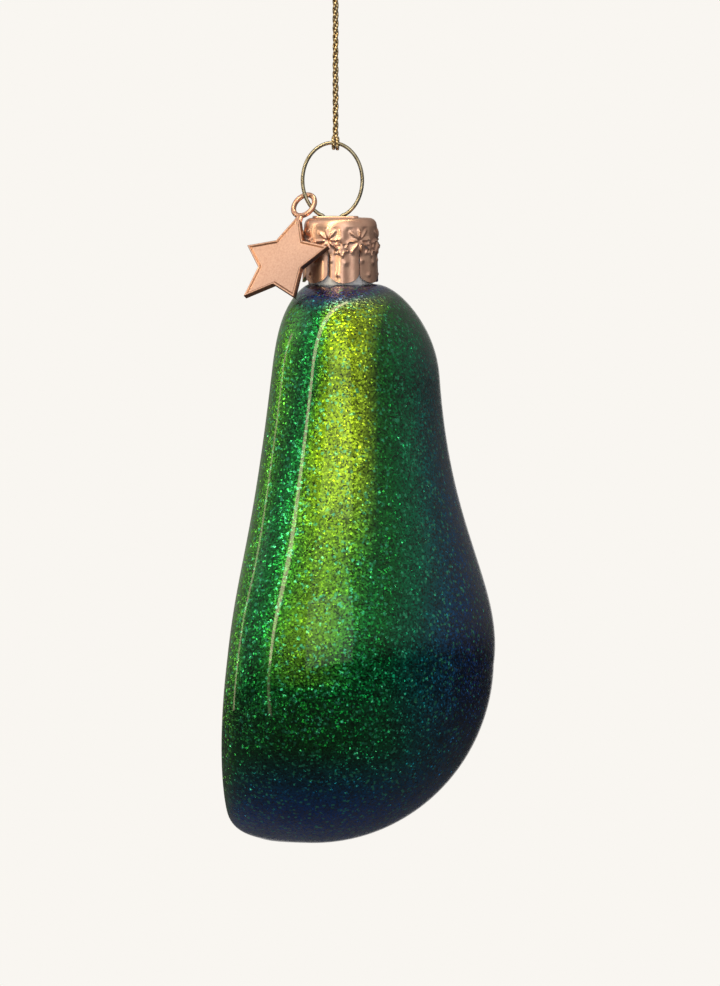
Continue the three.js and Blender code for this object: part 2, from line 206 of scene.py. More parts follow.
# %% Helpers for finishing pieces
def join(pieces, name):
    """Makes one mesh of several, and names it."""
    deselect()
    for piece in pieces:
        piece.select_set(True)
    bpy.context.view_layer.objects.active = pieces[0]
    if len(pieces) > 1:
        bpy.ops.object.join()
    return settle(pieces[0], name)


def smooth(piece, angle):
    """Shades a piece smooth, except over edges that bend by more than the angle in degrees."""
    pick(piece)
    bpy.ops.object.shade_smooth_by_angle(angle=math.radians(angle))


def add_slots(piece, *places):
    """Slots named for parts of a piece. They keep its faces apart until it is dressed."""
    for place in places:
        piece.data.materials.append(bpy.data.materials.get(place) or bpy.data.materials.new(place))


def dress(piece, *materials):
    """Puts a material in each of the piece's slots, and keeps which face wears which."""
    worn = [face.material_index for face in piece.data.polygons]
    piece.data.materials.clear()
    for material in materials:
        piece.data.materials.append(material)
    for face, place in zip(piece.data.polygons, worn):
        face.material_index = min(place, len(materials) - 1)


def hand_over(piece, body, node):
    """The piece rides on a body and takes the place of one of the model's solids."""
    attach(piece, body)
    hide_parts(node)
    print(piece.name, "faces:", len(piece.data.polygons))


# %% [markdown]
# The cord. It is a twisted cord of metallised film yarn, 1 mm thick, which the photograph shows
# going up out of the view. A plain tube would look like wire, so the yarns are real here: each
# follows a helix round the cord's own line. A curve with a round bevel sweeps each yarn, and is
# then made a mesh, so that the yarns can be joined as one piece.

# %% Cord sizes, as in the model
cord_diameter = 1.0 * mm
cord_pitch = 4.4 * mm
yarn_count = 3
yarn_radius = 0.24 * mm
yarn_orbit = cord_diameter / 2 - yarn_radius
loop_height = 11 * mm
loop_spread = 4.5 * mm
loop_foot_offset = 0.62 * mm
knot_height = 2.8 * mm
knot_diameter = 2.6 * mm
cord_length = 32 * mm
seat_gap = 0.3 * mm
wire_diameter = 0.6 * mm
knot_strand_radius = 0.42 * mm
knot_heart_radius = 0.7 * mm
knot_turns = 3
hitch_yarn_diameter = 0.6 * mm
hitch_gap = 0.28 * mm
hitch_stem = 0.64 * mm
hitch_turn_spacing = 0.62 * mm
loop_yarn_turns = 10
hitch_yarn_turns = 5

knot_top = -loop_height - cord_diameter / 2
knot_bottom = knot_top - knot_height
cord_top = knot_bottom - seat_gap
cord_bottom = cord_top - cord_length
hitch_top = cord_bottom - seat_gap
hitch_radius = wire_diameter / 2 + hitch_gap + hitch_yarn_diameter / 2
hitch_centre = hitch_top - hitch_stem - hitch_radius - hitch_yarn_diameter / 2 + 0.2 * mm
print("Hitch on the wire at z =", round(hitch_centre / mm, 2), "mm")


# %% Sweep a round section along points
def sweep(name, points, radius, closed=False, sides=8):
    """A round rod along the points, as a mesh."""
    data = bpy.data.curves.new(name, "CURVE")
    data.dimensions = "3D"
    data.bevel_depth = radius
    data.bevel_resolution = sides // 4 - 1
    data.use_fill_caps = not closed
    spline = data.splines.new("POLY")
    spline.points.add(len(points) - 1)
    for spot, point in zip(spline.points, points):
        spot.co = (*point, 1)
    spline.use_cyclic_u = closed
    swept = bpy.data.objects.new(name, data)
    bpy.context.collection.objects.link(swept)
    pick(swept)
    bpy.ops.object.convert(target="MESH")
    return swept


def length_along(points):
    """The length of the line up to each of its points."""
    lengths = [0]
    for a, b in zip(points, points[1:]):
        lengths.append(lengths[-1] + (Vector(b) - Vector(a)).length)
    return lengths


def twist_yarns(name, line, across, turns, closed=False, radius=yarn_radius, orbit=yarn_orbit):
    """Yarns twisted round a flat line. across is the normal of the plane that the line lies in."""
    across = Vector(across).normalized()
    along = length_along(line)
    yarns = []
    for yarn in range(yarn_count):
        points = []
        for i, point in enumerate(line):
            before = Vector(line[i - 1] if i or closed else line[i])
            after = Vector(line[(i + 1) % len(line)] if i + 1 < len(line) or closed else line[i])
            side = (after - before).normalized().cross(across)
            turn = 2 * math.pi * (turns * along[i] / along[-1] + yarn / yarn_count)
            points.append(Vector(point) + orbit * (math.cos(turn) * across + math.sin(turn) * side))
        yarns.append(sweep(name, points, radius, closed))
    return join(yarns, name)


# %% Hanging cord, its knot and its loop
def straight(low, high, steps):
    """Points straight up the cord's own line."""
    return [Vector((0, 0, low + (high - low) * i / steps)) for i in range(steps + 1)]


def loop_line(steps=120):
    """A teardrop, from its right foot over the top to its left foot."""
    foot = knot_top + seat_gap
    top = cord_diameter / 2
    line = []
    for i in range(steps + 1):
        turn = 2 * math.pi * i / steps
        x = loop_foot_offset * math.cos(turn / 2)
        x += loop_spread * math.sin(turn) * abs(math.sin(turn / 2)) ** 1.2
        line.append(Vector((x, 0, foot + (top - foot) * (1 - math.cos(turn)) / 2)))
    return line


def knot_line(steps=150):
    """Close turns of the cord round itself, as in a small overhand knot."""
    line = []
    for i in range(steps + 1):
        share = i / steps
        turn = 2 * math.pi * knot_turns * share
        swelling = math.sin(math.pi * min(1, max(0.04, share))) ** 0.35
        reach = (knot_diameter / 2 - knot_strand_radius) * swelling
        rise = knot_bottom + 0.4 * mm + (knot_height - 0.8 * mm) * share
        line.append(Vector((reach * math.cos(turn), reach * math.sin(turn), rise)))
    return line


cord_line = straight(cord_bottom - seat_gap, knot_bottom + 0.3 * mm, 260)
cord_turns = (cord_line[-1].z - cord_line[0].z) / cord_pitch
hanging_cord = twist_yarns("twisted_cord", cord_line, (1, 0, 0), cord_turns)
loop = twist_yarns("twisted_loop", loop_line(), (0, 1, 0), loop_yarn_turns)
knot = join([
    sweep("knot_turns", knot_line(), knot_strand_radius),
    sweep("knot_heart", straight(knot_bottom, knot_top, 6), knot_heart_radius),
], "overhand_knot")
for piece in (knot, hanging_cord, loop):
    smooth(piece, 60)
print("Cord:", round(cord_turns, 1), "turns in its", yarn_count, "yarns")

# %% Hitch round the wire
loop_turn = math.radians(8.5)
cap_axis = Vector((0, 0.8 * mm, 0))
hitch_slip = 0.49 * mm
loop_width = 9.56 * mm
loop_height_of_wire = 12 * mm
hitch_angle = math.asin(2 * hitch_slip / loop_width)
hitch_tilt = math.atan(math.tan(hitch_angle) * loop_height_of_wire / loop_width)


def on_loop(point):
    """A point drawn in the YZ plane, turned round the cap's axis to the plane of the wire loop."""
    x = point[0]
    y = point[1] - cap_axis.y
    cosine = math.cos(loop_turn)
    sine = math.sin(loop_turn)
    return Vector((x * cosine - y * sine, cap_axis.y + x * sine + y * cosine, point[2]))


def hitch_ring(offset, steps=48):
    """One turn of the cord round the top of the wire loop, offset along the wire."""
    line = []
    for i in range(steps):
        turn = 2 * math.pi * i / steps
        x = hitch_radius * math.cos(turn)
        z = hitch_centre + hitch_radius * math.sin(turn) - offset * math.tan(hitch_tilt)
        line.append(on_loop((x, offset, z)))
    return line


hitch_parts = []
for offset in (-hitch_turn_spacing / 2, hitch_turn_spacing / 2):
    ring_normal = on_loop((0, 1, 0)) - on_loop((0, 0, 0))
    hitch_parts.append(twist_yarns(
        "hitch_turn", hitch_ring(offset), ring_normal, hitch_yarn_turns, closed=True,
        radius=hitch_yarn_diameter * 0.27, orbit=hitch_yarn_diameter * 0.23,
    ))
stem_line = straight(hitch_centre + wire_diameter / 2 + hitch_gap + 0.25 * mm, hitch_top, 12)
hitch_parts.append(twist_yarns("hitch_stem", stem_line, (1, 0, 0), 0.3))
hitch = join(hitch_parts, "hitch_turns")
smooth(hitch, 60)
print("Hitch:", round(hitch_radius / mm, 2), "mm in radius")

# %% [markdown]
# The wire hanger. One length of plated steel wire is bent to an oval loop, and its two ends go
# through the cap's slot and spread as springs inside the neck. The model's tube has few sides, so
# the same line is swept again with a rounder section.

# %% Wire hanger
leg_spacing = 3.0 * mm
leg_length = 17 * mm
cap_wall = 0.35 * mm
glass_wall = 0.9 * mm
cap_top_radius = 5.8 * mm
neck_radius = cap_top_radius - cap_wall - seat_gap
leg_reach = neck_radius - glass_wall - seat_gap - wire_diameter / 2
loop_middle = hitch_centre - loop_height_of_wire / 2 * math.cos(hitch_angle)
leg_entry = loop_middle - loop_height_of_wire / 2 * math.sqrt(1 - (leg_spacing / loop_width) ** 2)
cap_top = leg_entry - 0.28 * mm


def leg_points(side):
    """A spring leg, from its foot against the neck's wall up to the slot in the cap."""
    end = cap_axis.y + side * leg_reach
    entry = -hitch_slip + side * leg_spacing / 2
    stations = [(1, 0), (0.9, 0.3), (0.45, 0.65), (0, 0.97)]
    return [(0, entry + (end - entry) * share, cap_top - leg_length + rise * leg_length)
            for share, rise in stations]


def oval_points(steps=40):
    """The loop above the cap, from one leg over the top to the other."""
    foot = math.asin(leg_spacing / loop_width)
    points = []
    for i in range(steps + 1):
        turn = foot + (2 * math.pi - 2 * foot) * i / steps
        y = -hitch_slip - loop_width / 2 * math.sin(turn)
        points.append((0, y, loop_middle - loop_height_of_wire / 2 * math.cos(turn)))
    return points


def spline_through(points, steps):
    """Points on a smooth curve that passes through each of the given ones."""
    ends = [Vector(points[0]) * 2 - Vector(points[1])]
    guides = ends + [Vector(p) for p in points] + [Vector(points[-1]) * 2 - Vector(points[-2])]
    line = []
    for a, b, c, d in zip(guides, guides[1:], guides[2:], guides[3:]):
        for i in range(steps):
            t = i / steps
            line.append(0.5 * (
                2 * b + (c - a) * t + (2 * a - 5 * b + 4 * c - d) * t ** 2
                + (3 * b - a - 3 * c + d) * t ** 3
            ))
    return line + [Vector(points[-1])]


wire_line = [on_loop(p) for p in leg_points(-1) + oval_points() + leg_points(1)[::-1]]
wire = sweep("hanger_wire", spline_through(wire_line, 4), wire_diameter / 2, sides=20)
settle(wire, "hanger_wire")
smooth(wire, 60)
print("Wire:", round(length_along(wire_line)[-1] / mm), "mm long")

# %% [markdown]
# The crown cap. The real one is stamped from thin brass sheet: a cup with a raised pad and one slot
# on top, embossed stars round its wall, and seven petals cut apart so that it can be pressed on the
# neck. It could be a lathe shape with a bump texture, but the stamping catches the light in the
# photograph, so it is real relief here: a flat grid is the sheet, and it is drawn into the cup.

# %% Crown cap sizes
cap_height = 10.3 * mm
cap_rim_radius = 6.1 * mm
cap_shoulder = 1.2 * mm
petal_count = 7
petal_depth = 1.9 * mm
slit_length = 4.2 * mm
petal_puff = 0.32 * mm
first_slit = math.radians(-16) + loop_turn
burst_level = 6.8 * mm
burst_radius = 2.0 * mm
stamped_star_level = 5.6 * mm
stamped_star_radius = 1.35 * mm
ridge_height = 0.2 * mm
dot_height = 0.16 * mm
fold_depth = 0.1 * mm
stamped_up_to = 9.2 * mm
pad_height = 0.3 * mm
columns_per_petal = 44
wall_rows = 52
shoulder_rows = 8
plate_rows = 6


# %% The pattern stamped in the sheet
def petal_edge(share):
    """Height of the scalloped rim above the petals' tips, where share runs 0 to 1 over a petal."""
    across = abs(2 * share - 1)
    return petal_depth * (1 - math.sqrt(max(0, 1 - across ** 1.8)))


def hump(distance, width):
    """A soft round hill, 1 high at its middle."""
    return math.exp(-(distance / width) ** 2)


def star_relief(along, height, level, radius, turn):
    """A stamped six-pointed star: its outline stands up as a ridge, with a low dome inside."""
    away = math.hypot(along, height - level)
    if away > 1.5 * radius:
        return 0
    fold = math.pi / 6
    inner = 0.55 * radius
    within = abs((math.atan2(height - level, along) + turn + fold) % (2 * fold) - fold)
    outline = radius * inner * math.sin(fold) / (
        radius * math.sin(within) + inner * math.sin(fold - within)
    )
    ridge = ridge_height * hump(away - outline, 0.2 * mm)
    return ridge + 0.4 * ridge_height * hump(away, 0.4 * radius)


def burst_relief(along, height, level, radius):
    """Eight rays round a dimple, stamped over the top of each slit."""
    away = math.hypot(along, height - level)
    if away > 1.4 * radius:
        return 0
    step = math.pi / 4
    off_ray = abs((math.atan2(height - level, along) + 0.3) % step - step / 2) * away
    ray = hump(off_ray, 0.2 * mm) * ease((1.3 - away / radius) / 0.5)
    dimple = ridge_height * hump(away, 0.3 * radius)
    return 1.4 * ridge_height * ray * ease(away / (0.35 * radius)) - dimple


# Round dots of one petal: share across the petal, height above its tip and size, in mm
petal_dots = [(0.1, 3.6, 0.34), (0.55, 3.3, 0.42), (0.76, 4.9, 0.3), (0.32, 1.3, 0.28)]


def wall_relief(petal, share, height):
    """Stamped stars and dots, and the folds that pressing the cap on has left in its wall."""
    pitch = 2 * math.pi * cap_rim_radius / petal_count
    lift = 0
    for step in (-1, 0, 1):
        along = (share + step) * pitch
        lift += burst_relief(along, height, burst_level, burst_radius)
        lift += star_relief(along - 0.42 * pitch, height, stamped_star_level, stamped_star_radius,
                            0.4 + petal + step)
        for place, level, size in petal_dots:
            away = math.hypot(along - place * pitch, height - level * mm)
            lift += dot_height * hump(away, size * mm)
    angle = (petal + share) * 2 * math.pi / petal_count
    fold = math.sin(17 * angle + 1.3 * math.sin(4 * angle)) * ease(1.6 * math.sin(2 * angle + 0.4))
    below_band = ease((stamped_up_to - height) / (1.0 * mm))
    on_petal = ease((slit_length + petal_depth - height) / (2 * mm))
    puffed = petal_puff * abs(2 * share - 1) ** 4 * on_petal
    return (lift + fold_depth * fold) * below_band - puffed


print("Sheet:", petal_count * columns_per_petal, "columns for", petal_count, "petals")


# %% Draw the sheet into a cup
def cap_point(column, row):
    """Where a point of the flat sheet goes: rows run up the wall, over the shoulder and inwards."""
    petal, step = divmod(column, columns_per_petal)
    share = step / columns_per_petal
    angle = first_slit + (petal + share) * 2 * math.pi / petal_count
    top_of_wall = cap_height - cap_shoulder
    if row <= wall_rows:
        low = petal_edge(share) if row < wall_rows else 0
        rise = row / wall_rows
        height = low * (1 - rise) ** 1.5 + top_of_wall * rise
        radius = cap_rim_radius + (cap_top_radius - cap_rim_radius) * height / cap_height
        radius += wall_relief(petal, share, height)
    elif row <= wall_rows + shoulder_rows:
        turn = math.pi / 2 * (row - wall_rows) / shoulder_rows
        radius = cap_top_radius - cap_shoulder * (1 - math.cos(turn))
        height = top_of_wall + cap_shoulder * math.sin(turn)
    else:
        radius = (cap_top_radius - cap_shoulder) * (1 - (row - wall_rows - shoulder_rows) / plate_rows)
        height = cap_height
    return Vector((
        radius * math.cos(angle),
        cap_axis.y + radius * math.sin(angle),
        cap_top - cap_height + height,
    ))


def drawn_cup():
    """A flat grid, rolled round to the cup and sewn up along its seam and its middle."""
    columns = petal_count * columns_per_petal
    rows = wall_rows + shoulder_rows + plate_rows
    bpy.ops.mesh.primitive_grid_add(x_subdivisions=columns, y_subdivisions=rows, size=2)
    cup = bpy.context.object
    for vertex in cup.data.vertices:
        column = round((vertex.co.x + 1) / 2 * columns)
        row = round((vertex.co.y + 1) / 2 * rows)
        vertex.co = cap_point(column, row)
    merge_doubles(cup)
    return cup


# %% Slits, raised pad and slot
def cut_slits(cup):
    """Takes out the columns of faces between two petals, from the rim up to the slit's top."""
    slit_top = cap_top - cap_height + petal_depth + slit_length
    step = 2 * math.pi / petal_count / columns_per_petal

    def in_slit(face):
        middle = face.center - cap_axis
        column = ((math.atan2(middle.y, middle.x) - first_slit) / step) % columns_per_petal
        return middle.z < slit_top and (column < 1 or column > columns_per_petal - 1)

    remove_faces(cup, in_slit)


def stadium(half_length, half_width, low, high):
    """A flat-sided oval block along the plane of the wire loop."""
    bpy.ops.mesh.primitive_cylinder_add(vertices=48, radius=half_width, depth=high - low)
    block = bpy.context.object
    reach = half_length - half_width
    for vertex in block.data.vertices:
        vertex.co.y += math.copysign(reach, vertex.co.y) - cap_axis.y
        vertex.co.z += (low + high) / 2
    block.rotation_euler.z = loop_turn
    block.location = cap_axis
    return settle(block, "stadium")


slot_half_length = hitch_slip + leg_spacing / 2 + 1.3 * mm
slot_half_width = wire_diameter / 2 + 0.3 * mm
cap = drawn_cup()
cut_slits(cap)
modify(cap, "SOLIDIFY", thickness=cap_wall, offset=-1)
pad = stadium(slot_half_length + 0.4 * mm, slot_half_width + 0.4 * mm,
              cap_top - cap_wall / 2, cap_top + pad_height)
modify(pad, "BEVEL", width=0.16 * mm, segments=3, limit_method="ANGLE")
slot_cutter = stadium(slot_half_length, slot_half_width, cap_top - 2 * mm, cap_top + 2 * mm)
modify(cap, "BOOLEAN", object=pad, operation="UNION", solver="EXACT")
modify(cap, "BOOLEAN", object=slot_cutter, operation="DIFFERENCE", solver="EXACT")
bpy.data.objects.remove(pad)
bpy.data.objects.remove(slot_cutter)
settle(cap, "crown_cap")
smooth(cap, 50)
print("Crown cap:", len(cap.data.polygons), "faces")

# %% [markdown]
# The star tag. It is a small zinc casting: a five-pointed star with a raised rim and a bare brushed
# face, and a round eye on its top point. A circle of ten points becomes the star when every other
# point is drawn in, then it is filled, extruded and inset, as one would by hand.

# %% Star tag
star_radius = 8.45 * mm
star_notch = 4.48 * mm
tag_thickness = 0.9 * mm
star_rim = 0.5 * mm
star_recess = 0.22 * mm
eye_radius = 1.95 * mm
eye_band = 0.84 * mm
eye_height = 10.4 * mm


def star_plate():
    """The star itself, lying flat round the origin: its bare face is slot 0, its edges are slot 1."""
    bpy.ops.mesh.primitive_circle_add(vertices=10, radius=star_radius, fill_type="NGON")
    plate = bpy.context.object
    for i, vertex in enumerate(plate.data.vertices):
        turn = math.pi / 2 + math.pi / 5 * i
        radius = star_radius if i % 2 == 0 else star_notch
        vertex.co = (radius * math.cos(turn), radius * math.sin(turn), -tag_thickness / 2)
    pick(plate)
    bpy.ops.object.mode_set(mode="EDIT")
    bpy.ops.mesh.select_all(action="SELECT")
    bpy.ops.mesh.normals_make_consistent(inside=False)
    bpy.ops.mesh.extrude_region_move(TRANSFORM_OT_translate={"value": (0, 0, tag_thickness)})
    bpy.ops.mesh.inset(thickness=star_rim * 0.55, depth=0)
    bpy.ops.mesh.inset(thickness=star_rim * 0.45, depth=0)
    bpy.ops.transform.translate(value=(0, 0, -star_recess))
    bpy.ops.mesh.select_all(action="SELECT")
    bpy.ops.mesh.normals_make_consistent(inside=False)
    bpy.ops.object.mode_set(mode="OBJECT")
    modify(plate, "BEVEL", width=0.09 * mm, segments=2, limit_method="ANGLE",
           angle_limit=math.radians(25))
    # The edges and side walls get their own slot, whose darker finish is painted shade
    add_slots(plate, "star_face", "star_edge_painted_shade")
    for face in plate.data.polygons:
        face.material_index = 0 if face.normal.z >= 0.95 else 1
    return plate


def cast_eye():
    """The round eye above the star's top point."""
    bpy.ops.mesh.primitive_torus_add(
        location=(0, eye_height, 0), major_radius=eye_radius, minor_radius=eye_band / 2,
        major_segments=64, minor_segments=20,
    )
    add_slots(bpy.context.object, "star_eye")
    return bpy.context.object


def eye_root():
    """The short swelling where the eye's band grows out of the star's top point."""
    bpy.ops.mesh.primitive_uv_sphere_add(segments=24, ring_count=16, radius=0.5)
    root = bpy.context.object
    root.scale = (1.5 * mm, 2.5 * mm, eye_band * 0.96)
    root.location = (0, eye_height - eye_radius - 0.75 * mm, 0)
    add_slots(root, "star_eye")
    return root


tag = join([star_plate(), cast_eye(), eye_root()], "cast_star")
smooth(tag, 35)
print("Star:", len(tag.data.polygons), "faces, from its foot to its eye",
      round((eye_height + eye_radius + star_radius) / mm, 1), "mm")

# %% [markdown]
# The tag lay flat while it was made. It hangs by its eye on the wire, so it is turned in three steps
# about the eye's middle: rolled a little in its own plane, leaned back from upright, and turned round
# to the side of the fruit that the photograph shows.

# %% Hang the tag on the loop
tag_azimuth = math.radians(65.7)
tag_lean = math.radians(32.5)
tag_roll = math.radians(0.5)
eye_place = Vector((0.72 * mm, -5.01 * mm, hitch_centre - 9.96 * mm))
for vertex in tag.data.vertices:
    point = vertex.co - Vector((0, eye_height, 0))
    rolled = Vector((
        point.x * math.cos(tag_roll) - point.y * math.sin(tag_roll),
        point.x * math.sin(tag_roll) + point.y * math.cos(tag_roll),
        point.z,
    ))
    tilt = math.pi / 2 - tag_lean
    leaned = Vector((
        rolled.x,
        rolled.y * math.cos(tilt) - rolled.z * math.sin(tilt),
        rolled.y * math.sin(tilt) + rolled.z * math.cos(tilt),
    ))
    vertex.co = eye_place + Vector((
        leaned.x * math.cos(tag_azimuth) - leaned.y * math.sin(tag_azimuth),
        leaned.x * math.sin(tag_azimuth) + leaned.y * math.cos(tag_azimuth),
        leaned.z,
    ))
box_of_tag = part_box("star_tag")
print("Star tag's model box in mm:", [[round(v / mm, 1) for v in corner] for corner in box_of_tag])

# %% [markdown]
# The glass body. The real one is blown into a two-part mould: the fruit's rounded skin behind, the
# flat cut face with its raised stone in front, and an open neck on top. The model's solid has the
# same form in coarser facets. A ball of many segments is moved onto the same curves here, ring by
# ring, because a finely blown surface shows every facet in its gloss.

# %% Glass sizes, as in the model
neck_height = 9.9 * mm
body_height = 89.65 * mm
belly_height = 28.6 * mm
belly_width = 57 * mm
back_belly_height = 29.5 * mm
belly_back_depth = 28.9 * mm
belly_front_depth = 9.2 * mm
belly_seam_in_front = 4.4 * mm
seam_lean = 0.1
nape_width = 35 * mm
nape_back_depth = 9.9 * mm
side_taper_run = 22.4 * mm
back_taper_run = 29.3 * mm
side_dome_start = 77 * mm
back_dome_start = 74.5 * mm
cut_face_lean = math.radians(6.3)
rim_width = 6.5 * mm
cut_face_crown = 0.5 * mm
stone_radius = 12.5 * mm
stone_rise = 3.4 * mm
foot_inset = 9.0 * mm
foot_rise = 6.5 * mm
neck_top = cap_top - cap_wall - seat_gap
body_bottom = neck_top - neck_height - body_height


# %% Outlines of the fruit
def taper(height, start, wide, narrow, run, sharpness):
    """The slope from the wide belly to the slim nape."""
    return narrow + (wide - narrow) / (1 + ((height - start) / run) ** sharpness)


def dome_share(height, start):
    """The shoulder's round: 1 where it starts, and 0 where the neck begins."""
    rise = min(1, max(0, (height - start) / (body_height - start)))
    return math.sqrt(1 - rise ** 2)


def bowl(height, belly, size):
    """The round bottom, as wide as size at the belly."""
    return size * math.sqrt(max(0, 1 - ((belly - height) / belly) ** 2))


def half_width_at(height):
    """Half the fruit's width, seen from the front."""
    if height < belly_height:
        return bowl(height, belly_height, belly_width / 2)
    side = taper(height, belly_height, belly_width / 2, nape_width / 2, side_taper_run, 3)
    return neck_radius + (side - neck_radius) * dome_share(height, side_dome_start)


def back_depth_at(height):
    """How far the skin stands out behind the mould seam."""
    if height < back_belly_height:
        return bowl(height, back_belly_height, belly_back_depth)
    back = taper(height, back_belly_height, belly_back_depth, nape_back_depth, back_taper_run, 2)
    return neck_radius + (back - neck_radius) * dome_share(height, back_dome_start)


def seam_at(height):
    """Where the mould seam lies: parallel to the cut face, and over the neck's middle on top."""
    straight_part = -belly_seam_in_front + seam_lean * max(0, height - belly_height)
    rise = ease((height - back_dome_start) / (body_height - back_dome_start))
    return cap_axis.y + straight_part * (1 - rise)


def front_at(height):
    """Where the cut face lies: a leaned plane with a round foot, drawn in to the neck on top."""
    plane = seam_at(belly_height) - belly_front_depth
    plane += math.tan(cut_face_lean) * (height - belly_height)
    low = max(0, foot_rise - height) / foot_rise
    foot = foot_inset * (1 - (1 - low ** 2.8) ** (1 / 2.8))
    rise = min(1, max(0, (height - back_dome_start) / (body_height - back_dome_start)))
    return (plane + foot) * (1 - rise ** 6) + (cap_axis.y - neck_radius) * rise ** 6


print("Glass: from z =", round(body_bottom / mm, 1), "to", round(neck_top / mm, 1), "mm")

# %% One level ring of the glass
back_segments = 84
front_segments = 108


def front_path(half, seam, front):
    """The front half of a ring: the two rounded rims, from the seam on, and the flat between them."""
    corner_width = min(rim_width, half)
    corner_depth = seam - front
    left = []
    for i in range(25):
        turn = math.pi / 2 * i / 24
        x = -half + corner_width * (1 - math.cos(turn))
        left.append(Vector((x, front + corner_depth * (1 - math.sin(turn)))))
    return left + [Vector((-p.x, p.y)) for p in reversed(left)]


def spread(path, count):
    """Points spaced evenly along a path, without its last one."""
    along = length_along(path)
    points = []
    piece = 0
    for i in range(count):
        goal = along[-1] * i / count
        while along[piece + 1] < goal:
            piece += 1
        span = along[piece + 1] - along[piece]
        share = (goal - along[piece]) / span if span else 0
        points.append(path[piece].lerp(path[piece + 1], share))
    return points


def face_relief(x, front, point_y, half, seam, height):
    """How far the crown of the cut face and the stone in it stand out of the flat."""
    flat = max(half - min(rim_width, half), 0.01 * mm)
    if point_y > front + 0.02 * (seam - front) or abs(x) > flat:
        return 0
    crown = cut_face_crown * ease(flat / belly_front_depth) * (1 - (x / flat) ** 2)
    away = math.hypot(x, height - belly_height) / stone_radius
    stone = stone_rise * (1 - away * away) if away < 1 else 0
    return max(crown, stone)


def glass_ring(height):
    """All points of the glass at one height: half an oval behind, and the cut face in front."""
    half = half_width_at(height)
    seam = seam_at(height)
    front = min(front_at(height), seam - 0.02 * mm)
    back = back_depth_at(height)
    ring = []
    for i in range(back_segments):
        turn = math.pi * i / back_segments
        ring.append(Vector((half * math.cos(turn), seam + back * math.sin(turn), height)))
    for point in spread(front_path(half, seam, front), front_segments):
        out = face_relief(point.x, front, point.y, half, seam, height)
        ring.append(Vector((point.x, point.y - out, height)))
    return ring


print("A ring has", back_segments + front_segments, "points")

# %% Rings of the blown glass
bowl_rings = 46
side_rings = 70
dome_rings = 34
neck_rings = 6


def ring_heights():
    """Heights of the rings, close together where the outline turns quickly."""
    heights = []
    for i in range(1, bowl_rings + 1):
        heights.append(belly_height * (1 - math.cos(math.pi / 2 * i / bowl_rings)))
    for i in range(1, side_rings + 1):
        heights.append(belly_height + (side_dome_start - belly_height) * i / side_rings)
    for i in range(1, dome_rings + 1):
        share = math.sin(math.pi / 2 * i / dome_rings)
        heights.append(side_dome_start + (body_height - side_dome_start) * share)
    for i in range(1, neck_rings + 1):
        heights.append(body_height + neck_height * i / neck_rings)
    return heights


def blown_glass():
    """A ball with a ring for each height, moved ring by ring onto the fruit's form."""
    heights = ring_heights()
    count = back_segments + front_segments
    bpy.ops.mesh.primitive_uv_sphere_add(segments=count, ring_count=len(heights) + 1, radius=1)
    glass = bpy.context.object
    levels = sorted({round(v.co.z, 5) for v in glass.data.vertices})
    rings = [glass_ring(height) for height in heights]
    foot = Vector((0, (rings[0][0].y + front_at(0)) / 2, 0))
    for vertex in glass.data.vertices:
        level = levels.index(round(vertex.co.z, 5))
        if level == 0:
            vertex.co = foot
        elif level == len(levels) - 1:
            vertex.co = Vector((0, cap_axis.y, body_height + neck_height))
        else:
            segment = round(math.atan2(vertex.co.y, vertex.co.x) / (2 * math.pi) * count) % count
            vertex.co = rings[level - 1][segment]
    for vertex in glass.data.vertices:
        vertex.co.z += body_bottom
    return glass


glass = blown_glass()
print("Blown glass:", len(ring_heights()), "rings")

# %% [markdown]
# The neck is open, so the fan of faces at the ball's upper pole is taken out. The wall is then given
# its thickness inwards, with the silvered inside as a second finish and the unpainted neck as a third.
# The cut face also needs to know where its flesh and its stone lie: that is written into a colour
# attribute on the points, red for flesh and green for stone, because the border follows the fruit's
# own outline, which no plain texture knows.

# %% Open the neck, thicken the wall and mark the cut face
def open_neck(glass):
    """Takes out the lid of faces on top of the neck."""
    top = neck_top - 0.01 * mm
    remove_faces(glass, lambda face: face.center.z > top)


painted_rim = 4.8 * mm
rim_blur = 1.6 * mm
face_from_seam = 2.5 * mm
face_blur = 2 * mm
stone_margin = 0.1 * mm
stone_blur = 0.5 * mm
flesh_middle = 42 * mm
flesh_height_share = 0.94


def zones_at(point):
    """Shares of flesh and of stone, each from 0 to 1."""
    height = point.z - body_bottom
    stretched = flesh_middle + (height - flesh_middle) / flesh_height_share
    flesh = 0
    if 0 < stretched < body_height:
        border = half_width_at(stretched) - painted_rim
        flesh = ease((border - abs(point.x)) / rim_blur + 0.5)
    in_front = ease((seam_at(height) - face_from_seam - point.y) / face_blur)
    away = math.hypot(point.x, height - belly_height)
    stone = ease((stone_radius + stone_margin - away) / stone_blur)
    return flesh * in_front, stone * in_front


open_neck(glass)
add_slots(glass, "skin", "inside", "neck")
modify(glass, "SOLIDIFY", thickness=glass_wall, offset=-1, material_offset=1, material_offset_rim=1)
settle(glass, "blown_glass")
zones = glass.data.color_attributes.new("zones", "FLOAT_COLOR", "POINT")
for vertex, zone in zip(glass.data.vertices, zones.data):
    zone.color = (*zones_at(vertex.co), 0, 1)
for face in glass.data.polygons:
    if face.material_index == 0 and face.center.z > neck_top - neck_height:
        face.material_index = 2
pick(glass)
bpy.ops.object.shade_smooth()
print("Glass:", len(glass.data.polygons), "faces")
